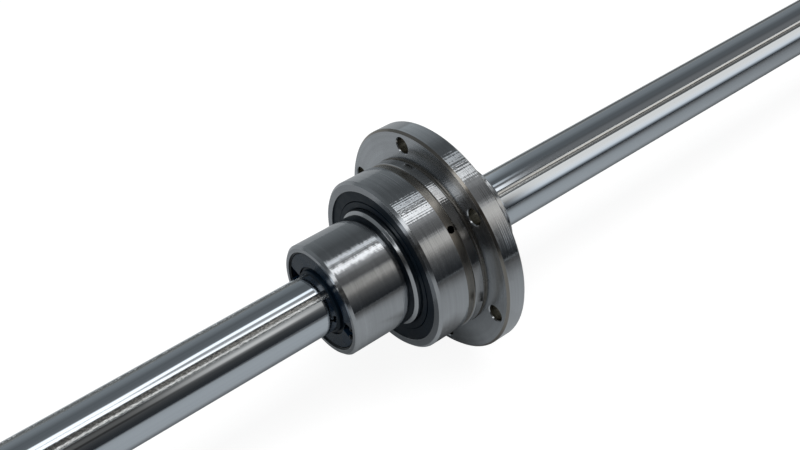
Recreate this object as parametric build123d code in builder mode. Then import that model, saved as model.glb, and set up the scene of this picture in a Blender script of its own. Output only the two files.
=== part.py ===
"""A ball spline shaft with a rotary nut, as an assembly of its separate pieces.

A round shaft with four long ball grooves slides through a nut. Four closed circuits of balls run
between them, so the shaft slides along the nut and turns with it. The nut is also the inner ring of
a double-row ball bearing, so that both turn freely in a flanged outer ring, which is bolted down.

Frame: the origin is on the shaft's axis, in the flange's front face. +X runs along the shaft towards
the flange's back, +Z is up. Angles are measured about X, from +Y towards +Z. Sizes are millimetres.
"""

from build123d import *
import os

# Shaft and its ball grooves
shaft_radius = 8.0
shaft_front_reach = 120.0
shaft_rear_reach = 178.0
shaft_chamfer = 1.0
groove_fit = 0.06
groove_depth = 0.45
groove_turn = 30.0
spline_turn = 90.0

# Balls of the spline and their circuits
spline_ball_radius = 1.5
ball_gap = 0.03
ball_row_gap = 0.2
return_step = 2.72
return_turn = 28.0
return_clearance = 0.1

# Nut
nut_front_reach = 19.4
nut_rear_reach = 11.6
bore_step = 1.6
pocket_depth = 6.0
pocket_margin = 0.5
nut_lip = 1.7
nut_chamfer = 0.7
shoulder_step = 0.8
shoulder_reach = 0.8
shoulder_bevel = 0.6

# End caps at both ends of the nut, an upper and a lower one, with a slot between them at each side
cap_recess = 0.45
cap_clearance = 0.1
cap_boss_step = 0.5
cap_face_step = 1.5
cap_back_gap = 0.05
cap_bore_gap = 0.25
cap_edge = 0.15
cap_slot_turn = 20.5
cap_right_turn = 96.5
cap_left_turn = 91.5
scoop_length = 1.7
scoop_gap = 0.1
channel_gap = 0.05
channel_sides = 6

# Wipers round the shaft, inside the end caps
wiper_seat = 1.5
wiper_gap = 0.06
wiper_lip_width = 0.7
wiper_lip_reach = 0.4
wiper_lip_bevel = 0.3
wiper_base_width = 1.3
wiper_base_length = 0.65

# Snap rings that hold the end caps in
snap_thickness = 0.6
snap_groove_depth = 0.6
snap_gap = 0.05
snap_width = 0.95
snap_open_turn = 11.0
snap_lug_turn = 4.5
snap_lug_depth = 1.5
snap_eye_radius = 0.4

# Ball retainer bars between the rows of loaded balls
bar_gap = 0.05
bar_bore_gap = 0.3
bar_end_gap = 0.1

# Bearing between nut and outer ring
bearing_ball_radius = 2.0
race_clearance = 0.08
race_depth = 0.7
land_gap = 2.3
row_spacing = 9.6
balls_per_row = 16
race_sides = 8
cage_gap = 0.35
cage_back = 1.1
cage_finger = 1.2
cage_finger_depth = 1.2
cage_pocket_gap = 0.08

# Flanged outer ring
ring_nose = 15.0
ring_chamfer = 0.7
ring_wall = 2.55
flange_thickness = 6.0
flange_step = 8.0
flange_chamfer = 0.6
bolt_hole_radius = 2.25
bolt_hole_edge = 0.25
bolt_hole_count = 6
ring_turn = 8.8
oil_groove_place = 4.65
oil_groove_width = 2.5
oil_groove_depth = 0.45
oil_groove_slope = 0.2
oil_hole_radius = 1.0
relief_width = 1.0
relief_depth = 0.4
relief_undercut = 0.2
relief_lip = 0.1

# Bearing seals
seal_seat_step = 2.85
seal_seat_depth = 1.85
seal_recess = 0.4
seal_edge_gap = 0.05
seal_lip_gap = 0.05
seal_lip_rise = 0.12
seal_lip_width = 1.9
seal_lip_tip = 0.5
seal_groove = 0.25

# Radii worked out from the shaft outwards
groove_radius = spline_ball_radius + groove_fit
groove_centre = shaft_radius - groove_depth + groove_radius
ball_centre = shaft_radius - groove_depth + spline_ball_radius + ball_gap
nut_groove_centre = ball_centre + spline_ball_radius + ball_gap - groove_radius
nut_bore_radius = shaft_radius + bore_step
return_centre = ball_centre + return_step
return_bore_radius = spline_ball_radius + return_clearance
channel_radius = spline_ball_radius + channel_gap
pocket_radius = return_centre + spline_ball_radius + pocket_margin
nut_radius = pocket_radius + nut_lip
shoulder_radius = nut_radius + shoulder_step
race_radius = bearing_ball_radius + race_clearance
bearing_centre = shoulder_radius - race_depth + bearing_ball_radius
ring_bore_radius = shoulder_radius + land_gap
seal_seat_radius = ring_bore_radius + seal_seat_step
ring_radius = seal_seat_radius + ring_wall
flange_radius = ring_radius + flange_step
bolt_circle_radius = (ring_radius + flange_radius) / 2

# Places along the shaft
ring_front = -ring_nose
ring_rear = flange_thickness
ring_middle = (ring_front + ring_rear) / 2
nut_front = ring_front - nut_front_reach
nut_rear = ring_rear + nut_rear_reach
nut_middle = (nut_front + nut_rear) / 2
nut_length = nut_rear - nut_front
shaft_front = nut_front - shaft_front_reach
shaft_length = shaft_front_reach + nut_length + shaft_rear_reach
pocket_floor = nut_front + pocket_depth
track_length = nut_length - 2 * pocket_depth
cap_front = nut_front + cap_recess
wiper_back = nut_front + wiper_seat
snap_slot = snap_thickness + 2 * snap_gap
front_row = ring_middle - row_spacing / 2
rear_row = ring_middle + row_spacing / 2
seal_front = ring_front + seal_recess
seal_back = ring_front + seal_seat_depth - seal_edge_gap

FULL_TURN = 360
HALF_TURN = 180


def square_to_shaft(x):
    """The plane square to the shaft at x, its own x towards +Y and its own y towards +Z."""
    return Plane.YZ.offset(x)


def along_shaft(turn):
    """The half plane through the shaft's axis at an angle: its x is X, its y points outwards."""
    return Plane.XY.rotated((turn, 0, 0))


def radial_plane(x, turn):
    """The plane on the axis at x that faces outwards at an angle, its own x along the shaft."""
    outwards = Vector(0, 1, 0).rotate(Axis.X, turn)
    return Plane(origin=(x, 0, 0), x_dir=(1, 0, 0), z_dir=outwards)


def four_places(radius, turn):
    """Four places on a circle: a pair at a turn each side of the upper middle, and the pair opposite."""
    places = []
    for start in (spline_turn - turn, spline_turn + turn):
        places += PolarLocations(radius, 2, start).local_locations
    return places


def circuit_plane(side, up):
    """The plane through the loaded and the return row of one ball circuit, its own x along the shaft.

    side is 1 for the rows towards +Y and -1 for those towards -Y. up is 1 above the axis, -1 below.
    """
    middle_turn = spline_turn if up > 0 else spline_turn + HALF_TURN
    loaded_turn = middle_turn - side * up * groove_turn
    back_turn = loaded_turn - side * up * return_turn
    loaded = Vector(0, ball_centre, 0).rotate(Axis.X, loaded_turn)
    back = Vector(0, return_centre, 0).rotate(Axis.X, back_turn)
    middle = Vector(nut_middle, 0, 0) + (loaded + back) / 2
    return Plane(origin=middle, x_dir=(1, 0, 0), z_dir=Vector(1, 0, 0).cross(back - loaded))


# Distance between the loaded and the return row, which is the width of a circuit
circuit_width = (
    Vector(0, return_centre, 0).rotate(Axis.X, return_turn) - Vector(0, ball_centre, 0)
).length


def flatted_ball(radius):
    """A ball drawn with 26 flats: a cube with its edges cut back, so its corners lie on the ball."""
    slope = 1 + 2**0.5
    edge = 2 * radius / (2 + slope**2) ** 0.5
    side = edge * slope
    with BuildPart() as ball:
        Box(side, side, side)
        chamfer(ball.edges(), length=(side - edge) / 2)
    return ball.part


def race_section(mode):
    """The section of a bearing race, drawn with flats that the ball's own circle would touch."""
    RegularPolygon(race_radius, race_sides, major_radius=False, rotation=HALF_TURN / race_sides, mode=mode)


os.makedirs("parts", exist_ok=True)

# Spline shaft: a ground bar, chamfered at both ends, with four full-length ball grooves
with BuildPart() as spline_shaft:
    with BuildSketch(square_to_shaft(shaft_front)):
        Circle(shaft_radius)
    extrude(amount=shaft_length)
    chamfer(spline_shaft.edges().filter_by(GeomType.CIRCLE), length=shaft_chamfer)
    with BuildSketch(square_to_shaft(shaft_front)):
        with Locations(*four_places(groove_centre, groove_turn)):
            Circle(groove_radius)
    extrude(amount=shaft_length, mode=Mode.SUBTRACT)
spline_shaft.part.label = "spline_shaft"
export_step(spline_shaft.part, "parts/spline_shaft.step")

# Spline nut: a turned sleeve with a raised middle that carries the two inner races of the bearing
with BuildPart() as spline_nut:
    with BuildSketch(Plane.XY):
        with BuildLine():
            shoulder_front = ring_front - shoulder_reach
            shoulder_rear = ring_rear + shoulder_reach
            Polyline(
                (nut_front, nut_bore_radius),
                (nut_front, nut_radius - nut_chamfer),
                (nut_front + nut_chamfer, nut_radius),
                (shoulder_front - shoulder_bevel, nut_radius),
                (shoulder_front, shoulder_radius),
                (shoulder_rear, shoulder_radius),
                (shoulder_rear + shoulder_bevel, nut_radius),
                (nut_rear - nut_chamfer, nut_radius),
                (nut_rear, nut_radius - nut_chamfer),
                (nut_rear, nut_bore_radius),
                close=True,
            )
        make_face()
        with Locations((front_row, bearing_centre), (rear_row, bearing_centre)):
            race_section(Mode.SUBTRACT)
    revolve(axis=Axis.X)
    # grooves of the loaded balls, open to the bore, and the drilled bores through which balls return
    with BuildSketch(square_to_shaft(nut_front)):
        with Locations(*four_places(nut_groove_centre, groove_turn)):
            Circle(groove_radius)
        with Locations(*four_places(return_centre, groove_turn + return_turn)):
            Circle(return_bore_radius)
    extrude(amount=nut_length, mode=Mode.SUBTRACT)
    # end pockets for the caps, each with a slot for its snap ring
    for pocket_place, slot_place in (
        (nut_front, cap_front - snap_gap),
        (nut_rear - pocket_depth, nut_rear - cap_recess + snap_gap - snap_slot),
    ):
        with BuildSketch(square_to_shaft(pocket_place)):
            Circle(pocket_radius)
        extrude(amount=pocket_depth, mode=Mode.SUBTRACT)
        with BuildSketch(square_to_shaft(slot_place)):
            Circle(pocket_radius + snap_groove_depth)
        extrude(amount=snap_slot, mode=Mode.SUBTRACT)
spline_nut.part.label = "spline_nut"
export_step(spline_nut.part, "parts/spline_nut.step")

# Ball retainer: four bars in the nut's bore, whose hollow sides keep the loaded balls in the nut
with BuildPart() as ball_retainer_bars:
    with BuildSketch(square_to_shaft(pocket_floor + bar_end_gap)):
        Circle(nut_bore_radius - bar_gap)
        Circle(shaft_radius + bar_bore_gap, mode=Mode.SUBTRACT)
        with Locations(*four_places(ball_centre, groove_turn)):
            Circle(groove_radius, mode=Mode.SUBTRACT)
    extrude(amount=track_length - 2 * bar_end_gap)
ball_retainer_bars.part.label = "ball_retainer_bars"
export_step(ball_retainer_bars.part, "parts/ball_retainer_bars.step")

# Four ball circuits: each a loaded row, a return row and the two turns between them in the end caps
for up, height in ((1, "upper"), (-1, "lower")):
    for side, hand in ((1, "left"), (-1, "right")):
        with BuildSketch(circuit_plane(side, up)) as track:
            SlotCenterToCenter(track_length, circuit_width)
        track_line = track.sketch.faces()[0].outer_wire()
        ball_count = int(track_line.length // (2 * spline_ball_radius + ball_row_gap))
        with BuildPart() as ball_circuit:
            with Locations(*[track_line @ (number / ball_count) for number in range(ball_count)]):
                add(flatted_ball(spline_ball_radius))
        ball_circuit.part.label = f"{height}_{hand}_ball_circuit"
        export_step(ball_circuit.part, f"parts/{height}_{hand}_ball_circuit.step")


def end_cap(start, span, up):
    """A front end cap: a moulded sector that turns two ball circuits back, from start over span."""
    with BuildPart() as cap:
        with BuildSketch(along_shaft(start)):
            with BuildLine():
                Polyline(
                    (cap_front, shaft_radius + cap_face_step),
                    (cap_front, pocket_radius - cap_boss_step),
                    (cap_front + snap_slot, pocket_radius - cap_boss_step),
                    (cap_front + snap_slot, pocket_radius - cap_clearance),
                    (pocket_floor - cap_back_gap, pocket_radius - cap_clearance),
                    (pocket_floor - cap_back_gap, shaft_radius + cap_bore_gap),
                    (wiper_back, shaft_radius + cap_bore_gap),
                    (wiper_back, shaft_radius + cap_face_step),
                    close=True,
                )
            make_face()
        revolve(axis=Axis.X, revolution_arc=span)
        rims = cap.edges().filter_by(GeomType.CIRCLE).group_by(Axis.X)[0]
        chamfer(rims.sort_by(SortBy.RADIUS)[-1], length=cap_edge)
        # scoops that reach into the shaft's grooves and lift the balls out of them
        scoops = [place for place in four_places(groove_centre, groove_turn) if place.position.Y * up > 0]
        with BuildSketch(square_to_shaft(wiper_back)):
            with Locations(*scoops):
                Circle(groove_radius - scoop_gap)
        extrude(amount=scoop_length)
        # half-round channels from the loaded rows to the return rows, drawn with flats
        for side in (1, -1):
            turn_back = circuit_plane(side, up)
            centre = turn_back.origin - Vector(track_length / 2, 0, 0)
            with BuildSketch(Plane(origin=centre, x_dir=turn_back.y_dir, z_dir=(1, 0, 0))):
                with Locations((circuit_width / 2, 0)):
                    RegularPolygon(
                        channel_radius, channel_sides, major_radius=False, rotation=HALF_TURN / channel_sides
                    )
            revolve(axis=Axis(centre, turn_back.z_dir), revolution_arc=HALF_TURN, mode=Mode.SUBTRACT)
    return cap


upper_start = spline_turn - cap_left_turn + cap_slot_turn / 2
lower_start = spline_turn + cap_right_turn + cap_slot_turn / 2
upper_span = cap_right_turn + cap_left_turn - cap_slot_turn
lower_span = FULL_TURN - cap_right_turn - cap_left_turn - cap_slot_turn
front_upper_end_cap = end_cap(upper_start, upper_span, 1)
front_upper_end_cap.part.label = "front_upper_end_cap"
export_step(front_upper_end_cap.part, "parts/front_upper_end_cap.step")
front_lower_end_cap = end_cap(lower_start, lower_span, -1)
front_lower_end_cap.part.label = "front_lower_end_cap"
export_step(front_lower_end_cap.part, "parts/front_lower_end_cap.step")

# Wiper: a rubber ring with a raised lip, and a tongue that fills each of the shaft's grooves
with BuildPart() as front_wiper:
    wiper_length = wiper_seat + wiper_lip_reach
    with BuildSketch(square_to_shaft(wiper_back)):
        Circle(shaft_radius + wiper_base_width)
    extrude(amount=-wiper_base_length)
    with BuildSketch(square_to_shaft(wiper_back)):
        Circle(shaft_radius + wiper_lip_width)
    extrude(amount=-wiper_length)
    chamfer(front_wiper.edges().filter_by(GeomType.CIRCLE).sort_by(Axis.X)[0], length=wiper_lip_bevel)
    with BuildSketch(square_to_shaft(wiper_back)):
        Circle(shaft_radius + wiper_gap)
        with Locations(*four_places(groove_centre, groove_turn)):
            Circle(groove_radius - wiper_gap, mode=Mode.SUBTRACT)
    extrude(amount=-wiper_length, mode=Mode.SUBTRACT)
front_wiper.part.label = "front_wiper"
export_step(front_wiper.part, "parts/front_wiper.step")

# Snap ring: an open flat ring, its two lugs in the slot between the end caps
with BuildPart() as front_snap_ring:
    snap_outer = pocket_radius + snap_groove_depth - snap_gap
    snap_inner = snap_outer - snap_width
    snap_end = spline_turn + cap_right_turn + snap_open_turn / 2
    with BuildSketch(along_shaft(snap_end)):
        with Locations((cap_front, snap_inner)):
            Rectangle(snap_thickness, snap_width, align=(Align.MIN, Align.MIN))
    revolve(axis=Axis.X, revolution_arc=FULL_TURN - snap_open_turn)
    for lug_start in (snap_end, snap_end - snap_open_turn - snap_lug_turn):
        with BuildSketch(along_shaft(lug_start)):
            with Locations((cap_front, snap_inner - snap_lug_depth)):
                Rectangle(snap_thickness, snap_lug_depth + snap_width / 2, align=(Align.MIN, Align.MIN))
        revolve(axis=Axis.X, revolution_arc=snap_lug_turn)
        with BuildSketch(square_to_shaft(cap_front)):
            with PolarLocations(snap_inner - snap_lug_depth / 2, 1, lug_start + snap_lug_turn / 2):
                Circle(snap_eye_radius)
        extrude(amount=snap_thickness, mode=Mode.SUBTRACT)
front_snap_ring.part.label = "front_snap_ring"
export_step(front_snap_ring.part, "parts/front_snap_ring.step")

# Bearing balls: one row, evenly spread round the nut
with BuildPart() as front_bearing_balls:
    with Locations(square_to_shaft(front_row)):
        with PolarLocations(bearing_centre, balls_per_row):
            add(flatted_ball(bearing_ball_radius))
front_bearing_balls.part.label = "front_bearing_balls"
export_step(front_bearing_balls.part, "parts/front_bearing_balls.step")

# Crown cage: a ring behind the balls, with a finger that reaches between each two of them
with BuildPart() as front_ball_cage:
    cage_outer = ring_bore_radius - cage_gap
    cage_inner = shoulder_radius + cage_gap
    ball_pitch = FULL_TURN / balls_per_row
    half_gap = Vector(0, bearing_centre, 0).rotate(Axis.X, ball_pitch / 2).Z - bearing_ball_radius
    with BuildSketch(square_to_shaft(front_row - bearing_ball_radius)):
        Circle(cage_outer)
        Circle(cage_inner, mode=Mode.SUBTRACT)
    extrude(amount=-cage_back)
    with BuildSketch(square_to_shaft(front_row - bearing_ball_radius)):
        with PolarLocations((cage_outer + cage_inner) / 2, balls_per_row, ball_pitch / 2):
            Rectangle(cage_finger_depth, 2 * (half_gap - cage_pocket_gap))
    extrude(amount=bearing_ball_radius + cage_finger)
front_ball_cage.part.label = "front_ball_cage"
export_step(front_ball_cage.part, "parts/front_ball_cage.step")

# Bearing seal: a rubber disc in the outer ring, with a thin groove and a raised lip round the nut
with BuildPart() as front_bearing_seal:
    seal_outer = seal_seat_radius - seal_edge_gap
    seal_inner = shoulder_radius + seal_lip_gap
    seal_lip = seal_inner + seal_lip_width
    with BuildSketch(Plane.XY):
        with BuildLine():
            Polyline(
                (seal_front, seal_outer),
                (seal_front, seal_lip + seal_groove),
                (seal_front + seal_groove, seal_lip),
                (seal_front - seal_lip_rise, seal_lip),
                (seal_front - seal_lip_rise, seal_inner + seal_lip_tip),
                (seal_front + seal_groove, seal_inner),
                (seal_back, seal_inner),
                (seal_back, seal_outer),
                close=True,
            )
        make_face()
    revolve(axis=Axis.X)
front_bearing_seal.part.label = "front_bearing_seal"
export_step(front_bearing_seal.part, "parts/front_bearing_seal.step")

# Each of these pieces stands at the rear too, mirrored about the middle of the nut or of the ring
for front_piece, name, middle in (
    (front_upper_end_cap, "rear_upper_end_cap", nut_middle),
    (front_lower_end_cap, "rear_lower_end_cap", nut_middle),
    (front_wiper, "rear_wiper", nut_middle),
    (front_snap_ring, "rear_snap_ring", nut_middle),
    (front_bearing_balls, "rear_bearing_balls", ring_middle),
    (front_ball_cage, "rear_ball_cage", ring_middle),
    (front_bearing_seal, "rear_bearing_seal", ring_middle),
):
    with BuildPart() as rear_piece:
        mirror(front_piece.part, about=square_to_shaft(middle))
    rear_piece.part.label = name
    export_step(rear_piece.part, f"parts/{name}.step")

# Flanged outer ring: turned outside with oil groove, relief and flange, inside with two outer races
with BuildPart() as flanged_outer_ring:
    with BuildSketch(Plane.XY):
        with BuildLine():
            oil_front = -oil_groove_place - oil_groove_width / 2
            oil_rear = oil_front + oil_groove_width
            Polyline(
                (ring_front, seal_seat_radius),
                (ring_front, ring_radius - ring_chamfer),
                (ring_front + ring_chamfer, ring_radius),
                (oil_front, ring_radius),
                (oil_front + oil_groove_slope, ring_radius - oil_groove_depth),
                (oil_rear - oil_groove_slope, ring_radius - oil_groove_depth),
                (oil_rear, ring_radius),
                (-relief_width, ring_radius),
                (-relief_width + relief_depth, ring_radius - relief_depth),
                (relief_undercut, ring_radius - relief_depth),
                (0, ring_radius + relief_lip),
                (0, flange_radius - flange_chamfer),
                (flange_chamfer, flange_radius),
                (flange_thickness - flange_chamfer, flange_radius),
                (flange_thickness, flange_radius - flange_chamfer),
                (ring_rear, seal_seat_radius),
                (ring_rear - seal_seat_depth, seal_seat_radius),
                (ring_rear - seal_seat_depth, ring_bore_radius),
                (ring_front + seal_seat_depth, ring_bore_radius),
                (ring_front + seal_seat_depth, seal_seat_radius),
                close=True,
            )
        make_face()
        with Locations((front_row, bearing_centre), (rear_row, bearing_centre)):
            race_section(Mode.SUBTRACT)
    revolve(axis=Axis.X)
    with BuildSketch(Plane.YZ):
        with PolarLocations(bolt_circle_radius, bolt_hole_count, ring_turn):
            Circle(bolt_hole_radius)
    extrude(amount=flange_thickness, mode=Mode.SUBTRACT)
    hole_rims = flanged_outer_ring.edges().filter_by(GeomType.CIRCLE).group_by(SortBy.RADIUS)[0]
    chamfer(hole_rims, length=bolt_hole_edge)
    # oil hole, in line with a bolt hole, from the oil groove to the space between the rows
    with BuildSketch(radial_plane(-oil_groove_place, ring_turn + 2 * FULL_TURN / bolt_hole_count)):
        Circle(oil_hole_radius)
    extrude(amount=ring_radius, mode=Mode.SUBTRACT)
flanged_outer_ring.part.label = "flanged_outer_ring"
export_step(flanged_outer_ring.part, "parts/flanged_outer_ring.step")
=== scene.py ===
from math import pi, radians

import bmesh
import bpy
from bpy.props import FloatProperty, FloatVectorProperty, IntProperty, PointerProperty
from bpy.types import Operator, Panel, PropertyGroup
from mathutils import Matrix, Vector


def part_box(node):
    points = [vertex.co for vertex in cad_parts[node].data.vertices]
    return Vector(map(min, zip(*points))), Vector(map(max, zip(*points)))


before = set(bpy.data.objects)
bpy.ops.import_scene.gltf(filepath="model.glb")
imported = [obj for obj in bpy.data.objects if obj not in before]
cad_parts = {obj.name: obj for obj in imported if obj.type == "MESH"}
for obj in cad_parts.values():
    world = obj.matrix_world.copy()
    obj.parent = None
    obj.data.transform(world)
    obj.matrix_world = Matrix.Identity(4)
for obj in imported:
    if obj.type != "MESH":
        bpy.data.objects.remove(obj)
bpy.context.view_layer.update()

bl_info = {
    "name": "Ball Spline Shaft",
    "version": (1, 0, 0),
    "blender": (4, 5, 0),
    "location": "View3D > Sidebar > Ball Spline",
    "description": "Finishes the pieces of a ball spline shaft with a rotary flanged nut",
    "category": "Object",
}

ring_low, ring_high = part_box("flanged_outer_ring")
MILLIMETRE = 0.001
HALF_TURN = 180.0
FINISH_EDGE = 0.05 * MILLIMETRE
# How far a surface faces along the axis, from none to one: flat faces, slanted ones such as chamfers,
# and the walls of holes, which stay below the last number.
FLAT = (0.9, 0.97)
SLANTED = (0.2, 0.93)
HOLE_WALL = 0.3
NUMBER = "NodeSocketFloat"
VECTOR = "NodeSocketVector"


def colour(name, description, value):
    """A colour that a user can set."""
    return FloatVectorProperty(
        name=name, description=description, default=value, size=3, min=0.0, max=1.0, subtype="COLOR"
    )


def length(name, description, value):
    """A length that a user can set, in metres."""
    return FloatProperty(
        name=name, description=description, default=value, min=0.0, unit="LENGTH", precision=5
    )


def angle(name, description, degrees):
    """An angle that a user can set."""
    return FloatProperty(name=name, description=description, default=radians(degrees), subtype="ANGLE")


def share(name, description, value):
    """A share between none and all that a user can set."""
    return FloatProperty(
        name=name, description=description, default=value, min=0.0, max=1.0, subtype="FACTOR"
    )


class BALLSPLINE_PG_steel(PropertyGroup):
    """Colours and finishes of the steel pieces."""

    chrome: colour("Chrome", "Colour of the hard chromed shaft", (0.73, 0.785, 0.84))
    track: colour("Ball track", "Colour of the shaft's ball grooves", (0.72, 0.73, 0.72))
    ground: colour("Ground steel", "Colour of the ground faces", (0.53, 0.55, 0.57))
    faced: colour("Faced steel", "Colour of the turned end faces", (0.39, 0.405, 0.425))
    # Turned steel also gives the flange rim's chamfers a painted brown reflection.
    turned: colour("Turned steel", "Colour of the turned grooves", (0.33, 0.31, 0.28))
    drilled: colour("Drilled steel", "Colour inside the flange's holes", (0.34, 0.33, 0.29))
    land: colour("Fine land", "Colour of the land beside the oil groove", (0.41, 0.41, 0.41))
    spring: colour("Spring steel", "Colour of the blackened snap rings", (0.05, 0.055, 0.06))
    chrome_gloss: share("Chrome roughness", "Roughness of the shaft between its grooves", 0.05)
    groove_gloss: share("Groove roughness", "Roughness of the shaft's ball grooves", 0.16)
    ground_gloss: share("Ground roughness", "Roughness of the ground outside faces", 0.08)
    face_gloss: share("Face roughness", "Roughness of the turned flat faces", 0.2)
    edge_gloss: share("Chamfer roughness", "Roughness of chamfers and rounded edges", 0.13)
    recess_gloss: share("Recess roughness", "Roughness of holes and turned grooves", 0.24)
    groove_radius: length(
        "Groove radius", "Radius below which the shaft's surface is groove", 7.93 * MILLIMETRE
    )
    line_depth: length(
        "Drawn line depth", "Depth of the fine lines drawn along the shaft", 0.0012 * MILLIMETRE
    )
    brush_depth: length(
        "Brush depth", "Depth of the brushed marks in the ball grooves", 0.09 * MILLIMETRE
    )
    mark_spacing: length("Mark spacing", "Distance between turning marks", 0.22 * MILLIMETRE)
    mark_slope: share("Mark slope", "How steeply the turning marks lean across their run", 0.11)
    land_spacing: length("Land mark spacing", "Distance between the fine land's marks", 0.03 * MILLIMETRE)
    land_slope: share("Land mark slope", "How steeply the fine land's marks lean", 0.6)
    land_tilt: share("Land mark tilt", "How far the fine land's marks lean all to one side", 0.28)
    chatter_count: IntProperty(
        name="Chatter lines", description="Grinding lines in one turn", default=230, min=1
    )
    chatter_slope: share(
        "Chatter slope", "How steeply the grinding lines lean from a true cylinder", 0.07
    )
    chatter_start: angle("Chatter start", "Where round the shaft the grinding lines begin", 97.0)
    chatter_end: angle("Chatter end", "Where round the shaft the grinding lines end", 115.0)
    edge_radius: length("Edge radius", "Radius at which sharp edges catch the light", 0.12 * MILLIMETRE)


class BALLSPLINE_PG_mouldings(PropertyGroup):
    """Colours and finishes of the plastic and rubber pieces."""

    cap: colour("End caps", "Colour of the end caps' plastic", (0.0045, 0.0145, 0.031))
    cage: colour("Cages", "Colour of the ball cages' plastic", (0.55, 0.5, 0.38))
    rubber: colour("Rubber", "Colour of the seals and wipers", (0.0042, 0.0092, 0.0165))
    cap_gloss: share("Cap roughness", "Roughness of the end caps", 0.26)
    rubber_gloss: share("Rubber roughness", "Roughness of the seals, wipers and cages", 0.38)
    grain: length("Grain", "Width of the moulded grain", 0.35 * MILLIMETRE)


class BALLSPLINE_PG_studio(PropertyGroup):
    """Camera, floor and light."""

    lens: FloatProperty(name="Lens", description="Focal length", default=47.87, unit="CAMERA")
    place: FloatVectorProperty(
        name="Camera place", description="Where the camera stands", default=(-0.1295, -0.1513, 0.1994),
        subtype="TRANSLATION", unit="LENGTH", precision=4,
    )
    sight: FloatVectorProperty(
        name="Line of sight", description="Direction in which the camera looks",
        default=(0.4473, 0.5603, -0.6970), subtype="DIRECTION",
    )
    floor_size: length("Floor size", "Side of the square floor", 8.0)
    floor_white: share(
        "Floor white", "Brightness of the floor in the picture before the lamp adds its share", 0.92
    )
    floor_diffuse: share("Floor diffuse", "Share of the floor that takes light and shadow", 0.2)
    floor_in_metal: colour(
        "Floor in metal", "Colour of the near floor where metal shows it", (0.225, 0.24, 0.25)
    )
    # The floor as metal shows it: a painted pool of light, and a painted strip of shade under the shaft.
    floor_pool: length(
        "Light on the floor", "Distance at which the floor's brightness in metal is halved", 0.225
    )
    floor_reach: length(
        "Light in front", "The same distance, straight in front of the near shaft", 0.6
    )
    floor_shade: length(
        "Shade under the shaft", "Half the width of the floor's darker strip in metal", 0.03
    )
    lamp_height: length("Lamp height", "Height of the soft lamp", 0.9)
    lamp_width: length("Lamp width", "Width of the soft lamp", 0.5)
    lamp_length: length("Lamp length", "Length of the soft lamp", 1.4)
    lamp_power: FloatProperty(
        name="Lamp power", description="Power of the soft lamp", default=5.0, unit="POWER"
    )


def add_node(tree, kind, inputs=None, **options):
    """Adds a shader node with its options, and fills its inputs with values or with links."""
    node = tree.nodes.new(kind)
    for name, value in options.items():
        setattr(node, name, value)
    for name, value in (inputs or {}).items():
        if isinstance(value, bpy.types.NodeSocket):
            tree.links.new(value, node.inputs[name])
        else:
            node.inputs[name].default_value = value
    return node


def maths(tree, operation, *values, clamp=False):
    """The result of one sum on values or sockets."""
    inputs = dict(enumerate(values))
    return add_node(tree, "ShaderNodeMath", inputs, operation=operation, use_clamp=clamp).outputs[0]


def vector_maths(tree, operation, *vectors):
    """The vector that one sum on vectors gives."""
    return add_node(tree, "ShaderNodeVectorMath", dict(enumerate(vectors)), operation=operation).outputs[0]


def vector_measure(tree, operation, *vectors):
    """The number that one sum on vectors gives."""
    inputs = dict(enumerate(vectors))
    return add_node(tree, "ShaderNodeVectorMath", inputs, operation=operation).outputs["Value"]


def scaled(tree, vector, factor):
    """A vector made longer or shorter by a number."""
    inputs = {0: vector, "Scale": factor}
    return add_node(tree, "ShaderNodeVectorMath", inputs, operation="SCALE").outputs[0]


def ramp(tree, value, low, high, start=0.0, end=1.0):
    """Value, mapped smoothly from low..high to start..end."""
    inputs = {"Value": value, "From Min": low, "From Max": high, "To Min": start, "To Max": end}
    node = add_node(tree, "ShaderNodeMapRange", inputs, interpolation_type="SMOOTHSTEP")
    return node.outputs["Result"]


def between(tree, value, low, high, softness):
    """A mask that is one where value lies from low to high, with soft edges."""
    rise = ramp(tree, value, low - softness, low + softness)
    fall = ramp(tree, value, high - softness, high + softness)
    return maths(tree, "SUBTRACT", rise, fall, clamp=True)


def mixed(tree, mask, first, second):
    """First where the mask is none, second where it is one: two numbers."""
    return add_node(tree, "ShaderNodeMix", {0: mask, 2: first, 3: second}, data_type="FLOAT").outputs[0]


def opaque(value):
    """A colour with its fourth channel, or a socket as it is."""
    return value if isinstance(value, bpy.types.NodeSocket) else (*value, 1.0)


def mixed_colour(tree, mask, first, second, way="MIX"):
    """First where the mask is none, second where it is one: two colours."""
    inputs = {0: mask, 6: opaque(first), 7: opaque(second)}
    return add_node(tree, "ShaderNodeMix", inputs, data_type="RGBA", blend_type=way).outputs[2]


def dimmed(tree, base, level):
    """A colour made brighter or darker by a level."""
    grey = add_node(tree, "ShaderNodeCombineColor", {0: level, 1: level, 2: level}).outputs[0]
    return mixed_colour(tree, 1.0, base, grey, "MULTIPLY")


def toned(tree, base, tone, depth):
    """A colour that a tone from none to one darkens and lightens by a small depth."""
    return dimmed(tree, base, ramp(tree, tone, 0.25, 0.75, 1.0 - depth, 1.0 + depth))


def noise(tree, position, scale=1.0, detail=2.0, roughness=0.5):
    """Noise of a position."""
    inputs = {"Vector": position, "Scale": scale, "Detail": detail, "Roughness": roughness}
    return add_node(tree, "ShaderNodeTexNoise", inputs, noise_dimensions="3D").outputs[0]


def line_noise(tree, place, detail=2.0, roughness=0.5):
    """Noise of one number along a line."""
    inputs = {"W": place, "Scale": 1.0, "Detail": detail, "Roughness": roughness}
    return add_node(tree, "ShaderNodeTexNoise", inputs, noise_dimensions="1D").outputs[0]


def streaks(tree, position, along, across, detail=2.0):
    """Noise with one scale along the axis and another across it, drawn out where its scale is low."""
    drawn = add_node(tree, "ShaderNodeMapping", {"Vector": position, "Scale": (along, across, across)})
    return noise(tree, drawn.outputs[0], detail=detail)


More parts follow.
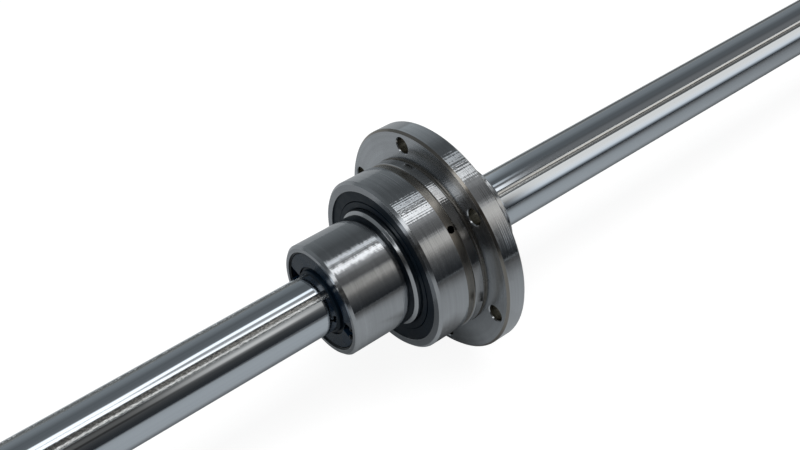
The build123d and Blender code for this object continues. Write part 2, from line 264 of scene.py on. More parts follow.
def new_group(name, inputs, outputs):
    """A shader node group with named inputs, each with its default, and named outputs."""
    tree = bpy.data.node_groups.new(name, "ShaderNodeTree")
    for title, kind, value in inputs:
        socket = tree.interface.new_socket(name=title, in_out="INPUT", socket_type=kind)
        if value is not None:
            socket.default_value = value
    for title, kind in outputs:
        tree.interface.new_socket(name=title, in_out="OUTPUT", socket_type=kind)
    return tree, tree.nodes.new("NodeGroupInput").outputs, tree.nodes.new("NodeGroupOutput").inputs


def use_group(tree, name, inputs=None):
    """The outputs of a node group, placed in a tree with its own values."""
    node = tree.nodes.new("ShaderNodeGroup")
    node.node_tree = bpy.data.node_groups[name]
    for title, value in (inputs or {}).items():
        if isinstance(value, bpy.types.NodeSocket):
            tree.links.new(value, node.inputs[title])
        else:
            node.inputs[title].default_value = value
    return node.outputs


def build_shaft_coordinates():
    """Group: where a point lies along, round and out from the axis, and how far it faces along it."""
    tree, _, out = new_group(
        "Shaft Coordinates",
        [],
        [("Along", NUMBER), ("Turn", NUMBER), ("Radius", NUMBER), ("Facing", NUMBER), ("Position", VECTOR)],
    )
    place = add_node(tree, "ShaderNodeTexCoord")
    position = place.outputs["Object"]
    along, side, height = add_node(tree, "ShaderNodeSeparateXYZ", {0: position}).outputs
    slope = add_node(tree, "ShaderNodeSeparateXYZ", {0: place.outputs["Normal"]})
    squares = maths(tree, "ADD", maths(tree, "POWER", side, 2.0), maths(tree, "POWER", height, 2.0))
    tree.links.new(along, out["Along"])
    tree.links.new(maths(tree, "ARCTAN2", height, side), out["Turn"])
    tree.links.new(maths(tree, "SQRT", squares), out["Radius"])
    tree.links.new(maths(tree, "ABSOLUTE", slope.outputs[0]), out["Facing"])
    tree.links.new(position, out["Position"])


def build_turning_marks():
    """Group: fine rings that a tool or a wheel leaves round the axis, on cylinders and on faces alike."""
    tree, given, out = new_group(
        "Turning Marks",
        [("Along", NUMBER, 0.0), ("Radius", NUMBER, 0.0), ("Spacing", NUMBER, 0.0003)],
        [("Height", NUMBER), ("Tone", NUMBER)],
    )
    path = maths(tree, "ADD", given["Along"], given["Radius"])
    steps = maths(tree, "DIVIDE", path, given["Spacing"])
    tree.links.new(line_noise(tree, steps, detail=3.0, roughness=0.6), out["Height"])
    broad_share = 0.13
    broad = maths(tree, "MULTIPLY", steps, broad_share)
    tree.links.new(line_noise(tree, broad, detail=4.0, roughness=0.7), out["Tone"])


def build_ground_normal():
    """Group: the lean of a ground or turned surface, from its rings, its chatter lines and its edges.

    The rings run round the axis, on cylinders and on faces alike, and lean the surface across their
    run. The chatter lines are parallel to the axis and evenly spaced round the turn, uneven in
    strength and ragged along their run.
    """
    tree, given, out = new_group(
        "Ground Normal",
        [
            ("Turn", NUMBER, 0.0),
            ("Position", VECTOR, None),
            ("Rings", NUMBER, 0.5),
            ("Ring Slope", NUMBER, 0.1),
            ("Lines", NUMBER, 300.0),
            ("Line Slope", NUMBER, 0.05),
            ("Ragged Slope", NUMBER, 0.03),
            ("Edge Radius", NUMBER, 0.0001),
        ],
        [("Normal", VECTOR)],
    )
    rounded = add_node(tree, "ShaderNodeBevel", {"Radius": given["Edge Radius"]}, samples=4).outputs[0]
    round_way = add_node(tree, "ShaderNodeTangent", direction_type="RADIAL", axis="X").outputs[0]
    across_way = vector_maths(tree, "CROSS_PRODUCT", rounded, round_way)
    wave = maths(tree, "SINE", maths(tree, "MULTIPLY", given["Turn"], given["Lines"]))
    patches = streaks(tree, given["Position"], along=12.0, across=420.0)
    wave = maths(tree, "MULTIPLY", wave, ramp(tree, patches, 0.3, 0.65, 0.4, 1.0))
    ragged = streaks(tree, given["Position"], along=3300.0, across=800.0)
    ragged = ramp(tree, ragged, 0.25, 0.75, -1.0, 1.0)
    ragged = maths(tree, "MULTIPLY", ragged, given["Ragged Slope"])
    round_lean = maths(tree, "ADD", maths(tree, "MULTIPLY", wave, given["Line Slope"]), ragged)
    across_lean = maths(tree, "MULTIPLY", maths(tree, "SUBTRACT", given["Rings"], 0.5), given["Ring Slope"])
    normal = vector_maths(tree, "ADD", rounded, scaled(tree, round_way, round_lean))
    normal = vector_maths(tree, "ADD", normal, scaled(tree, across_way, across_lean))
    tree.links.new(vector_maths(tree, "NORMALIZE", normal), out["Normal"])


def build_handling_marks():
    """Group: broad smudges from handling."""
    tree, given, out = new_group(
        "Handling Marks", [("Position", VECTOR, None), ("Scale", NUMBER, 60.0)], [("Smudge", NUMBER)]
    )
    smudges = noise(tree, given["Position"], given["Scale"], detail=5.0, roughness=0.62)
    tree.links.new(ramp(tree, smudges, 0.35, 0.7), out["Smudge"])


def build_edge_wear():
    """Group: a mask along sharp edges, where handling polishes or burnishes them, and where the mouldings
    get a painted edge highlight.
    """
    tree, given, out = new_group("Edge Wear And Highlight", [("Width", NUMBER, 0.0002)], [("Wear", NUMBER)])
    rounded = add_node(tree, "ShaderNodeBevel", {"Radius": given["Width"]}, samples=6)
    plain = add_node(tree, "ShaderNodeNewGeometry")
    match = vector_measure(tree, "DOT_PRODUCT", rounded.outputs[0], plain.outputs["Normal"])
    tree.links.new(ramp(tree, match, 0.995, 0.9), out["Wear"])


def build_moulded_grain():
    """Group: the fine uneven skin of a moulding."""
    tree, given, out = new_group(
        "Moulded Grain",
        [("Position", VECTOR, None), ("Width", NUMBER, 0.0003)],
        [("Height", NUMBER), ("Tone", NUMBER)],
    )
    scale = maths(tree, "DIVIDE", 1.0, given["Width"])
    tree.links.new(noise(tree, given["Position"], scale, detail=3.0, roughness=0.55), out["Height"])
    broad_share = 0.12
    broad = maths(tree, "MULTIPLY", scale, broad_share)
    tree.links.new(noise(tree, given["Position"], broad, detail=3.0), out["Tone"])


def new_material(name):
    """A material with an empty node tree, and its tree."""
    material = bpy.data.materials.new(name)
    material.use_nodes = True
    material.node_tree.nodes.clear()
    return material, material.node_tree


def finish_material(tree, height=None, height_size=0.0, **sockets):
    """Adds the Principled shader, with a bump of that height on its normal, and the output."""
    inputs = {name.replace("_", " "): value for name, value in sockets.items()}
    if isinstance(inputs["Base Color"], tuple):
        inputs["Base Color"] = opaque(inputs["Base Color"])
    if height is not None:
        bump = add_node(tree, "ShaderNodeBump", {"Height": height, "Distance": height_size, "Strength": 1.0})
        inputs["Normal"] = bump.outputs[0]
    shader = add_node(tree, "ShaderNodeBsdfPrincipled", inputs)
    add_node(tree, "ShaderNodeOutputMaterial", {"Surface": shader.outputs[0]})


def dress(material, *nodes):
    """Gives CAD nodes their material."""
    for node in nodes:
        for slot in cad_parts[node].material_slots:
            slot.material = material


def shaft_chrome(steel):
    """Mirror chrome with fine drawn lines on the lands, and brushed grooves where the balls run.

    The brushed marks are deep in the near shaft's grooves and faint behind the flange.
    """
    material, tree = new_material("Shaft chrome")
    spot = use_group(tree, "Shaft Coordinates")
    handling = use_group(tree, "Handling Marks", {"Position": spot["Position"], "Scale": 45.0})
    land = ramp(tree, spot["Radius"], steel.groove_radius, steel.groove_radius + FINISH_EDGE)
    groove = maths(tree, "SUBTRACT", 1.0, land)
    gloss = mixed(tree, land, steel.groove_gloss, steel.chrome_gloss)
    smudge_gloss = 0.025
    smudged = maths(tree, "MULTIPLY", handling["Smudge"], smudge_gloss)
    lines = streaks(tree, spot["Position"], along=3.0, across=900.0)
    brushed = streaks(tree, spot["Position"], along=1400.0, across=3600.0, detail=3.0)
    brushed = maths(tree, "MULTIPLY", brushed, groove)
    far_share = 0.15
    depth_share = ramp(tree, spot["Along"], -50 * MILLIMETRE, 30 * MILLIMETRE, 1.0, far_share)
    brushed = maths(tree, "MULTIPLY", brushed, depth_share)
    line_height = maths(tree, "MULTIPLY", lines, steel.line_depth)
    brush_height = maths(tree, "MULTIPLY", brushed, steel.brush_depth)
    base = mixed_colour(tree, groove, tuple(steel.chrome), tuple(steel.track))
    finish_material(
        tree,
        height=maths(tree, "ADD", line_height, brush_height),
        height_size=1.0,
        Base_Color=toned(tree, base, lines, depth=0.03),
        Metallic=1.0,
        Roughness=maths(tree, "ADD", gloss, smudged),
    )
    return material


def ground_steel(name, steel, lines, grooves=None, holes=None, land=None):
    """Ground cylinders with fine rings and chatter lines, satin turned faces, brownish grooves and holes.

    lines is the strength of the chatter lines. grooves is a stretch of the axis and a radius: what
    lies there and below that radius is turned, not ground. holes are two radii: what lies between
    them and doesn't face along the axis is the inside of a hole, and chamfers further out take the
    turned colour as a painted brown reflection. land is a stretch of the axis that is more closely ringed.
    """
    material, tree = new_material(name)
    spot = use_group(tree, "Shaft Coordinates")
    ring_inputs = {"Along": spot["Along"], "Radius": spot["Radius"], "Spacing": steel.mark_spacing}
    marks = use_group(tree, "Turning Marks", ring_inputs)
    handling = use_group(tree, "Handling Marks", {"Position": spot["Position"]})
    flat = ramp(tree, spot["Facing"], *FLAT)
    not_flat = maths(tree, "SUBTRACT", 1.0, flat)
    slanted = between(tree, spot["Facing"], *SLANTED, softness=0.05)
    faced = flat
    recess = 0.0
    if grooves:
        low, high, radius = grooves
        below = maths(tree, "LESS_THAN", spot["Radius"], radius)
        faced = maths(tree, "MULTIPLY", flat, below)
        recess = maths(tree, "MULTIPLY", below, between(tree, spot["Along"], low, high, FINISH_EDGE))
        recess = maths(tree, "MULTIPLY", recess, not_flat)
    base = mixed_colour(tree, faced, tuple(steel.ground), tuple(steel.faced))
    base = mixed_colour(tree, recess, base, tuple(steel.turned))
    gloss = mixed(tree, slanted, steel.ground_gloss, steel.edge_gloss)
    gloss = mixed(tree, flat, gloss, steel.face_gloss)
    gloss = mixed(tree, recess, gloss, steel.recess_gloss)
    smooth = maths(tree, "MAXIMUM", maths(tree, "MAXIMUM", flat, slanted), recess)
    if holes:
        low, high = holes
        # Painted reflection: the flange rim's chamfers take the turned steel's brown.
        painted_rim_reflection = maths(tree, "MULTIPLY", slanted, maths(tree, "GREATER_THAN", spot["Radius"], high))
        base = mixed_colour(tree, painted_rim_reflection, base, tuple(steel.turned))
        inside = between(tree, spot["Radius"], low, high, FINISH_EDGE)
        inside = maths(tree, "MULTIPLY", inside, maths(tree, "LESS_THAN", spot["Facing"], HOLE_WALL))
        base = mixed_colour(tree, inside, base, tuple(steel.drilled))
        gloss = mixed(tree, inside, gloss, steel.recess_gloss)
        smooth = maths(tree, "MAXIMUM", smooth, inside)
    base = toned(tree, base, marks["Tone"], depth=0.05)
    base = toned(tree, base, handling["Smudge"], depth=0.04)
    smudge_gloss = 0.04
    tone_gloss = 0.02
    gloss = maths(tree, "ADD", gloss, maths(tree, "MULTIPLY", handling["Smudge"], smudge_gloss))
    gloss = maths(tree, "ADD", gloss, ramp(tree, marks["Tone"], 0.3, 0.7, -tone_gloss, tone_gloss))
    rings = marks["Height"]
    ring_slope = steel.mark_slope
    if land:
        low, high = land
        on_land = maths(tree, "MULTIPLY", between(tree, spot["Along"], low, high, FINISH_EDGE), not_flat)
        fine = line_noise(tree, maths(tree, "DIVIDE", spot["Along"], steel.land_spacing))
        rings = mixed(tree, on_land, rings, maths(tree, "SUBTRACT", fine, steel.land_tilt))
        ring_slope = mixed(tree, on_land, steel.mark_slope, steel.land_slope)
        land_share = 0.8
        base = mixed_colour(tree, maths(tree, "MULTIPLY", on_land, land_share), base, tuple(steel.land))
    sector = between(tree, spot["Turn"], steel.chatter_start, steel.chatter_end, softness=0.02)
    line_shares = (0.12 * lines, lines)
    ragged_shares = (0.1, 0.38)
    line_slope = ramp(tree, sector, 0.0, 1.0, *(part * steel.chatter_slope for part in line_shares))
    ragged_slope = ramp(tree, sector, 0.0, 1.0, *(part * steel.chatter_slope for part in ragged_shares))
    ground = maths(tree, "SUBTRACT", 1.0, smooth)
    lean = {
        "Turn": spot["Turn"],
        "Position": spot["Position"],
        "Rings": rings,
        "Ring Slope": ring_slope,
        "Lines": float(steel.chatter_count),
        "Line Slope": maths(tree, "MULTIPLY", ground, line_slope),
        "Ragged Slope": maths(tree, "MULTIPLY", ground, ragged_slope),
        "Edge Radius": steel.edge_radius,
    }
    normal = use_group(tree, "Ground Normal", lean)["Normal"]
    finish_material(tree, Base_Color=base, Metallic=1.0, Roughness=gloss, Normal=normal)
    return material


def bearing_steel(steel):
    """Polished steel of the balls, with faint smudges."""
    material, tree = new_material("Bearing ball steel")
    spot = use_group(tree, "Shaft Coordinates")
    handling = use_group(tree, "Handling Marks", {"Position": spot["Position"], "Scale": 300.0})
    finish_material(
        tree,
        Base_Color=toned(tree, tuple(steel.chrome), handling["Smudge"], depth=0.04),
        Metallic=1.0,
        Roughness=ramp(tree, handling["Smudge"], 0.0, 1.0, 0.05, 0.1),
    )
    return material


def spring_steel(steel):
    """Blackened spring steel, burnished along its edges."""
    material, tree = new_material("Blackened spring steel")
    spot = use_group(tree, "Shaft Coordinates")
    grain = use_group(tree, "Moulded Grain", {"Position": spot["Position"], "Width": 0.2 * MILLIMETRE})
    wear = use_group(tree, "Edge Wear And Highlight", {"Width": 0.08 * MILLIMETRE})
    burnish_share = 0.6
    burnished = maths(tree, "MULTIPLY", wear["Wear"], burnish_share)
    finish_material(
        tree,
        height=grain["Height"],
        height_size=0.004 * MILLIMETRE,
        Base_Color=mixed_colour(tree, burnished, tuple(steel.spring), tuple(steel.turned)),
        Metallic=1.0,
        Roughness=ramp(tree, grain["Tone"], 0.3, 0.7, 0.3, 0.42),
    )
    return material


def moulding(name, base, gloss, shine, grain_width, grain_depth, wear_and_highlight_share):
    """Plastic or rubber with a moulded skin and lighter edges: wear, and a painted edge highlight."""
    material, tree = new_material(name)
    spot = use_group(tree, "Shaft Coordinates")
    grain = use_group(tree, "Moulded Grain", {"Position": spot["Position"], "Width": grain_width})
    wear = use_group(tree, "Edge Wear And Highlight", {"Width": 0.12 * MILLIMETRE})
    body = toned(tree, tuple(base), grain["Tone"], depth=0.18)
    # Painted edge highlight, with wear: the edges lighten to a paler copy of the colour.
    pale_wear_and_highlight = tuple(min(1.0, channel * 2.6) for channel in base)
    worn_and_highlit = maths(tree, "MULTIPLY", wear["Wear"], wear_and_highlight_share)
    finish_material(
        tree,
        height=grain["Height"],
        height_size=grain_depth,
        Base_Color=mixed_colour(tree, worn_and_highlit, body, pale_wear_and_highlight),
        Roughness=ramp(tree, grain["Tone"], 0.25, 0.75, gloss - 0.05, gloss + 0.07),
        Specular_IOR_Level=shine,
        Specular_Tint=(0.62, 0.85, 1.0, 1.0),
    )
    return material


class BALLSPLINE_OT_effects(Operator):
    """Build the node groups that the finishes share"""

    bl_idname = "ball_spline.effects"
    bl_label = "Shared Effects"

    def execute(self, context):
        build_shaft_coordinates()
        build_turning_marks()
        build_ground_normal()
        build_handling_marks()
        build_edge_wear()
        build_moulded_grain()
        return {"FINISHED"}


class BALLSPLINE_OT_shaft(Operator):
    """Chrome the spline shaft and brush its ball grooves"""

    bl_idname = "ball_spline.shaft"
    bl_label = "Spline Shaft"

    def execute(self, context):
        dress(shaft_chrome(context.scene.ball_spline_steel), "spline_shaft")
        return {"FINISHED"}


class BALLSPLINE_OT_nut(Operator):
    """Grind the nut and its ball retainer"""

    bl_idname = "ball_spline.nut"
    bl_label = "Nut and Retainer"

    def execute(self, context):
        steel = context.scene.ball_spline_steel
        dress(ground_steel("Nut steel", steel, lines=0.3), "spline_nut", "ball_retainer_bars")
        return {"FINISHED"}


class BALLSPLINE_OT_outer_ring(Operator):
    """Grind the flanged outer ring and leave its grooves as turned"""

    bl_idname = "ball_spline.outer_ring"
    bl_label = "Flanged Outer Ring"

    def execute(self, context):
        steel = context.scene.ball_spline_steel
        material = ground_steel(
            "Outer ring steel",
            steel,
            lines=0.65,
            grooves=(-7.0 * MILLIMETRE, 0.3 * MILLIMETRE, 23.8 * MILLIMETRE),
            holes=(ring_high.z - 7.0 * MILLIMETRE, ring_high.z - 1.2 * MILLIMETRE),
            land=(-3.4 * MILLIMETRE, -1.0 * MILLIMETRE),
        )
        dress(material, "flanged_outer_ring")
        return {"FINISHED"}


class BALLSPLINE_OT_balls(Operator):
    """Polish the balls of the spline and of the bearing"""

    bl_idname = "ball_spline.balls"
    bl_label = "Balls"

    def execute(self, context):
        circuits = [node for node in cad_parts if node.endswith("_ball_circuit")]
        rows = [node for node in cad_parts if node.endswith("_bearing_balls")]
        dress(bearing_steel(context.scene.ball_spline_steel), *circuits, *rows)
        return {"FINISHED"}


class BALLSPLINE_OT_snap_rings(Operator):
    """Blacken the snap rings"""

    bl_idname = "ball_spline.snap_rings"
    bl_label = "Snap Rings"

    def execute(self, context):
        dress(spring_steel(context.scene.ball_spline_steel), "front_snap_ring", "rear_snap_ring")
        return {"FINISHED"}


class BALLSPLINE_OT_mouldings(Operator):
    """Give the end caps and the ball cages their plastic"""

    bl_idname = "ball_spline.mouldings"
    bl_label = "End Caps and Cages"

    def execute(self, context):
        looks = context.scene.ball_spline_mouldings
        caps = [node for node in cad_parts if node.endswith("_end_cap")]
        cages = [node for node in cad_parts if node.endswith("_ball_cage")]
        cap_plastic = moulding(
            "Cap plastic",
            looks.cap,
            looks.cap_gloss,
            shine=0.3,
            grain_width=looks.grain,
            grain_depth=0.006 * MILLIMETRE,
            wear_and_highlight_share=0.5,
        )
        cage_plastic = moulding(
            "Cage plastic",
            looks.cage,
            looks.rubber_gloss,
            shine=0.4,
            grain_width=looks.grain,
            grain_depth=0.01 * MILLIMETRE,
            wear_and_highlight_share=0.3,
        )
        dress(cap_plastic, *caps)
        dress(cage_plastic, *cages)
        return {"FINISHED"}


class BALLSPLINE_OT_rubber(Operator):
    """Give the wipers and the bearing seals their rubber"""

    bl_idname = "ball_spline.rubber"
    bl_label = "Wipers and Seals"

    def execute(self, context):
        looks = context.scene.ball_spline_mouldings
        wipers = [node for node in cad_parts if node.endswith("_wiper")]
        seals = [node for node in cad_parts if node.endswith("_bearing_seal")]
        rubber = moulding(
            "Nitrile rubber",
            looks.rubber,
            looks.rubber_gloss,
            shine=0.22,
            grain_width=looks.grain,
            grain_depth=0.008 * MILLIMETRE,
            wear_and_highlight_share=0.4,
        )
        dress(rubber, *wipers, *seals)
        return {"FINISHED"}


# What metal shows of the studio, from the horizon behind the shaft over the top to the horizon in
# front of it: an angle in degrees, and the brightness there. A wall, a slim lamp, the main lamp
# overhead, a board, a low lamp and the dark front of the room follow each other. For the near shaft
# the two lamps overhead are one bright stretch, which near_studio parts with a dark gap.
STUDIO_NEAR = [
    (0, 0.22), (20, 0.22), (45, 0.12), (60, 0.13), (71.5, 0.16), (75.5, 1.4), (94, 1.4), (96.5, 0.11),
    (120, 0.1), (126, 0.12), (136, 0.14), (140.5, 0.36), (143, 0.36), (148, 0.1), (155, 0.06),
    (170, 0.03), (180, 0.03),
]
STUDIO_MIDDLE = [
    (0, 0.24), (25, 0.17), (45, 0.11), (68, 0.11), (71.5, 1.05), (77.5, 1.05), (79, 0.2), (86, 0.2),
    (87.5, 1.75), (95.5, 1.75), (99, 0.5), (106, 0.32), (110, 0.18), (122, 0.12), (129, 0.41),
    (138, 0.43), (147, 0.2), (154, 0.12), (166, 0.055), (172, 0.04), (180, 0.02),
]
STUDIO_FAR = [
    (0, 0.25), (30, 0.21), (50, 0.12), (72, 0.1), (84, 0.16), (92, 0.16), (97, 0.22), (101, 0.38),
    (105, 0.33), (108, 0.12), (111, 0.02), (123, 0.02), (128, 0.66), (133, 0.78), (150, 0.82),
    (163, 0.78), (171, 0.29), (176, 0.06), (180, 0.02),
]
STUDIO_TINT = [
    (0, (0.93, 1.0, 1.04)), (60, (0.93, 1.0, 1.05)), (85, (1.0, 1.0, 1.0)), (122, (1.0, 1.0, 1.0)),
    (130, (1.03, 1.0, 0.94)), (145, (1.04, 1.0, 0.95)), (160, (0.98, 1.0, 1.02)), (180, (0.9, 1.0, 1.12)),
]

# The studio changes along the axis. Each pair gives the share of a direction that points along the
# axis, from which and up to which something changes. The near shaft shows the smallest shares, and
# the nut, the ring, the flange's rim and the far shaft follow.
NEAR_SHAFT = (0.15, 0.29)
NEAR_GAP = (0.15, 0.27)
SHAFT_TO_NUT = (0.31, 0.38)
RIM_WALL = (0.455, 0.495)
RIM_LEAN = (0.475, 0.52)
RIM_TO_FAR = (0.525, 0.56)

# For the near shaft: how far the lamps overhead lean towards the nut, the share of it with which the
# gap leans, where the gap is and half its width at either end, all in degrees but the share. Then the
# gap's brightness and the low lamp's at either end, as parts of the table's.
OVERHEAD_LEAN = 4.0
GAP_LEAN_SHARE = 0.4
GAP_PLACE = 84.4
GAP_HALF = (0.5, 4.5)
GAP_LEVEL = 0.25
LOW_LAMP_LEVELS = (0.3, 1.75)

# What grows brighter or darker towards the rim: the low lamp, the lamps overhead, and the board
# between them. The angles that each lies between and the softness of its edges, in degrees, its pair
# of shares, and the change as a part of the table's brightness.
RIM_CHANGES = [
    (124, 150, 4, (0.4, 0.5), 0.68),
    (66, 100, 2, (0.45, 0.5), -0.3),
    (108, 125, 4, (0.475, 0.495), 0.45),
]


def studio_band(tree, turn, stops):
    """A colour ramp over the half turn above the floor, from angles and grey levels or colours."""
    node = add_node(tree, "ShaderNodeValToRGB", {"Fac": turn})
    marks = node.color_ramp.elements
    marks.remove(marks[-1])
    for index, (degrees, level) in enumerate(stops):
        mark = marks.new(degrees / HALF_TURN) if index else marks[0]
        mark.position = degrees / HALF_TURN
        mark.color = (*level, 1.0) if isinstance(level, tuple) else (level, level, level, 1.0)
    return node.outputs[0]


def turn_mask(tree, turn, low, high, softness):
    """A mask for the directions between two angles in degrees."""
    return between(tree, turn, low / HALF_TURN, high / HALF_TURN, softness / HALF_TURN)


def near_studio(tree, along, turn):
    """The bands that the near shaft shows.

    Towards the nut the lamps overhead lean back, the dark gap between them widens, and the low lamp
    grows brighter.
    """
    overhead = ramp(tree, turn, 104 / HALF_TURN, 99 / HALF_TURN)
    lean = maths(tree, "MULTIPLY", ramp(tree, along, *NEAR_SHAFT), overhead)
    lean = maths(tree, "MULTIPLY", lean, OVERHEAD_LEAN / HALF_TURN)
    bands = studio_band(tree, maths(tree, "ADD", turn, lean), STUDIO_NEAR)
    gap_turn = maths(tree, "ADD", turn, maths(tree, "MULTIPLY", lean, GAP_LEAN_SHARE))
    off_gap = maths(tree, "ABSOLUTE", maths(tree, "SUBTRACT", gap_turn, GAP_PLACE / HALF_TURN))
    gap_half = ramp(tree, along, *NEAR_GAP, *(degrees / HALF_TURN for degrees in GAP_HALF))
    gap = ramp(tree, maths(tree, "DIVIDE", off_gap, gap_half), 0.4, 1.1, GAP_LEVEL, 1.0)
    low_lamp = ramp(tree, along, *NEAR_SHAFT, *LOW_LAMP_LEVELS)
    low_lamp = mixed(tree, turn_mask(tree, turn, 124, 152, softness=3), 1.0, low_lamp)
    return dimmed(tree, bands, maths(tree, "MULTIPLY", low_lamp, gap))


def middle_studio(tree, along, turn):
    """The bands that the nut and the ring show, with what changes towards the flange's rim."""
    rim_lean = 3.0
    lean = ramp(tree, along, *RIM_LEAN, 0.0, rim_lean / HALF_TURN)
    bands = studio_band(tree, maths(tree, "ADD", turn, lean), STUDIO_MIDDLE)
    wall = ramp(tree, turn, 55 / HALF_TURN, 38 / HALF_TURN)
    level = maths(tree, "MULTIPLY", wall, ramp(tree, along, *RIM_WALL))
    for low, high, softness, shares, change in RIM_CHANGES:
        mask = turn_mask(tree, turn, low, high, softness)
        rise = maths(tree, "MULTIPLY", mask, ramp(tree, along, *shares, 0.0, change))
        level = maths(tree, "ADD", level, rise)
    return dimmed(tree, bands, maths(tree, "ADD", level, 1.0))


def build_world():
    """A white surround for the camera, and soft bright and dark stretches for metal and matt faces."""
    world = bpy.data.worlds.new("Studio")
    world.use_nodes = True
    tree = world.node_tree
    tree.nodes.clear()
    direction = add_node(tree, "ShaderNodeTexCoord").outputs["Generated"]
    along, side, height = add_node(tree, "ShaderNodeSeparateXYZ", {0: direction}).outputs
    turn = maths(tree, "DIVIDE", maths(tree, "ARCTAN2", height, side), pi)
    near = near_studio(tree, along, turn)
    middle = middle_studio(tree, along, turn)
    far = studio_band(tree, turn, STUDIO_FAR)
    studio = mixed_colour(tree, ramp(tree, along, *SHAFT_TO_NUT), near, middle)
    studio = mixed_colour(tree, ramp(tree, along, *RIM_TO_FAR), studio, far)
    studio = mixed_colour(tree, 1.0, studio, studio_band(tree, turn, STUDIO_TINT), "MULTIPLY")
    rays = add_node(tree, "ShaderNodeLightPath").outputs
    light = mixed_colour(tree, rays["Is Camera Ray"], studio, (1.0, 1.0, 1.0))
    surround = add_node(tree, "ShaderNodeBackground", {"Color": light, "Strength": 1.0})
    add_node(tree, "ShaderNodeOutputWorld", {"Surface": surround.outputs[0]})
    bpy.context.scene.world = world


def floor_light(tree, studio, spot):
    """How bright metal shows the floor at a spot.

    The light is a painted pool round the object that reaches further in front of the near shaft. The floor
    behind the shaft is painted lit all over. Painted shade darkens it under the shaft, and beside the
    flange, which stands on it.
    """
    distance = vector_measure(tree, "LENGTH", spot)
    along, across, _ = add_node(tree, "ShaderNodeSeparateXYZ", {0: spot}).outputs
    side = maths(tree, "ABSOLUTE", across)
    off_shaft = maths(tree, "DIVIDE", along, side)
    reach = ramp(tree, off_shaft, 0.05, 0.22, studio.floor_reach, studio.floor_pool)
    fall = maths(tree, "POWER", maths(tree, "DIVIDE", distance, reach), 3.0)
    pool = maths(tree, "DIVIDE", 1.0, maths(tree, "ADD", fall, 1.0))
    pool = maths(tree, "MAXIMUM", pool, ramp(tree, across, 0.0, 50 * MILLIMETRE))
    # Painted shade: levels that darken the floor in metal under the shaft and beside the flange.
    shade_under_shaft = 0.45
    shade_beside_flange = 0.25
    pool = maths(tree, "MULTIPLY", pool, ramp(tree, side, 0.0, studio.floor_shade, shade_under_shaft, 1.0))
    off_flange = maths(tree, "ABSOLUTE", along)
    flange_shade = ramp(tree, off_flange, 3 * MILLIMETRE, 11 * MILLIMETRE, shade_beside_flange, 1.0)
    flange_shade = maths(tree, "MAXIMUM", flange_shade, ramp(tree, side, 20 * MILLIMETRE, 50 * MILLIMETRE))
    return maths(tree, "MULTIPLY", pool, flange_shade)


def floor_material(studio):
    """White in the picture, grey with painted light and shade where metal shows it, and matt enough to keep
    the shadow.
    """
    material, tree = new_material("Pale floor")
    rays = add_node(tree, "ShaderNodeLightPath").outputs
    spot = add_node(tree, "ShaderNodeTexCoord").outputs["Object"]
    paper = ramp(tree, noise(tree, spot, scale=9.0, detail=3.0), 0.2, 0.8, 0.985, 1.0)
    # For rays other than the camera's, the floor glows with floor_light's painted pool of light and painted
    # shade.
    level = mixed(tree, rays["Is Camera Ray"], floor_light(tree, studio, spot), studio.floor_white)
    level = maths(tree, "MULTIPLY", level, paper)
    tint = mixed_colour(tree, rays["Is Camera Ray"], tuple(studio.floor_in_metal), (1.0, 1.0, 1.0))
    glow = add_node(tree, "ShaderNodeEmission", {"Color": tint, "Strength": level})
    matt = add_node(tree, "ShaderNodeBsdfDiffuse", {"Color": opaque((studio.floor_diffuse,) * 3)})
    both = add_node(tree, "ShaderNodeAddShader", {0: glow.outputs[0], 1: matt.outputs[0]})
    add_node(tree, "ShaderNodeOutputMaterial", {"Surface": both.outputs[0]})
    return material


def build_floor(studio):
    """A square floor that the flange's rim touches."""
    mesh = bpy.data.meshes.new("floor")
    form = bmesh.new()
    bmesh.ops.create_grid(form, x_segments=1, y_segments=1, size=studio.floor_size / 2)
    form.to_mesh(mesh)
    form.free()
    floor = bpy.data.objects.new("floor", mesh)
    floor.location = (0.0, 0.0, ring_low.z)
    mesh.materials.append(floor_material(studio))
    bpy.context.scene.collection.objects.link(floor)


def build_lamp(studio):
    """A long soft lamp above the shaft, which metal doesn't mirror: its band is in the surround."""
    light = bpy.data.lights.new("soft lamp", "AREA")
    light.shape = "RECTANGLE"
    light.size = studio.lamp_length
    light.size_y = studio.lamp_width
    light.energy = studio.lamp_power
    lamp = bpy.data.objects.new("soft lamp", light)
    lamp.location = (0.0, 0.0, studio.lamp_height)
    lamp.visible_glossy = False
    bpy.context.scene.collection.objects.link(lamp)


def build_camera(studio):
    """The camera, level, at the photograph's place and angle."""
    view = bpy.data.cameras.new("camera")
    view.lens = studio.lens
    view.clip_start = 0.01
    view.clip_end = 20.0
    camera = bpy.data.objects.new("camera", view)
    camera.location = studio.place
    camera.rotation_mode = "QUATERNION"
    camera.rotation_quaternion = Vector(studio.sight).to_track_quat("-Z", "Y")
    bpy.context.scene.collection.objects.link(camera)
    bpy.context.scene.camera = camera


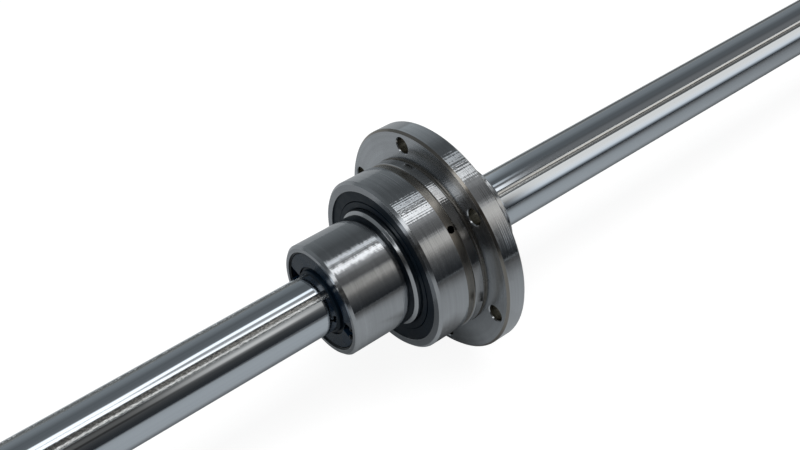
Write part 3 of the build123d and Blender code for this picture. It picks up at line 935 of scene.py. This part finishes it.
class BALLSPLINE_OT_stage(Operator):
    """Build the floor, the surround, the lamp and the camera"""

    bl_idname = "ball_spline.stage"
    bl_label = "Stage"

    def execute(self, context):
        studio = context.scene.ball_spline_studio
        context.scene.view_settings.view_transform = "Standard"
        build_world()
        build_floor(studio)
        build_lamp(studio)
        build_camera(studio)
        return {"FINISHED"}


OPERATORS = (
    BALLSPLINE_OT_effects,
    BALLSPLINE_OT_stage,
    BALLSPLINE_OT_shaft,
    BALLSPLINE_OT_nut,
    BALLSPLINE_OT_outer_ring,
    BALLSPLINE_OT_balls,
    BALLSPLINE_OT_snap_rings,
    BALLSPLINE_OT_mouldings,
    BALLSPLINE_OT_rubber,
)


class BALLSPLINE_PT_panel(Panel):
    """Sizes, colours and pieces of the ball spline shaft"""

    bl_idname = "BALLSPLINE_PT_panel"
    bl_label = "Ball Spline Shaft"
    bl_space_type = "VIEW_3D"
    bl_region_type = "UI"
    bl_category = "Ball Spline"

    def draw(self, context):
        for settings in (
            context.scene.ball_spline_steel,
            context.scene.ball_spline_mouldings,
            context.scene.ball_spline_studio,
        ):
            box = self.layout.box()
            for name in type(settings).__annotations__:
                box.prop(settings, name)
        for operator in OPERATORS:
            self.layout.operator(operator.bl_idname)


SETTINGS = (BALLSPLINE_PG_steel, BALLSPLINE_PG_mouldings, BALLSPLINE_PG_studio)
CLASSES = (*SETTINGS, *OPERATORS, BALLSPLINE_PT_panel)


def register():
    """Adds the classes to Blender, and the settings to its scenes."""
    for item in CLASSES:
        bpy.utils.register_class(item)
    bpy.types.Scene.ball_spline_steel = PointerProperty(type=BALLSPLINE_PG_steel)
    bpy.types.Scene.ball_spline_mouldings = PointerProperty(type=BALLSPLINE_PG_mouldings)
    bpy.types.Scene.ball_spline_studio = PointerProperty(type=BALLSPLINE_PG_studio)


def unregister():
    """Takes the settings and the classes out again."""
    del bpy.types.Scene.ball_spline_studio
    del bpy.types.Scene.ball_spline_mouldings
    del bpy.types.Scene.ball_spline_steel
    for item in reversed(CLASSES):
        bpy.utils.unregister_class(item)


def main():
    """Makes everything."""
    register()
    for operator in OPERATORS:
        group, name = operator.bl_idname.split(".")
        getattr(getattr(bpy.ops, group), name)()


if __name__ == "__main__":
    main()
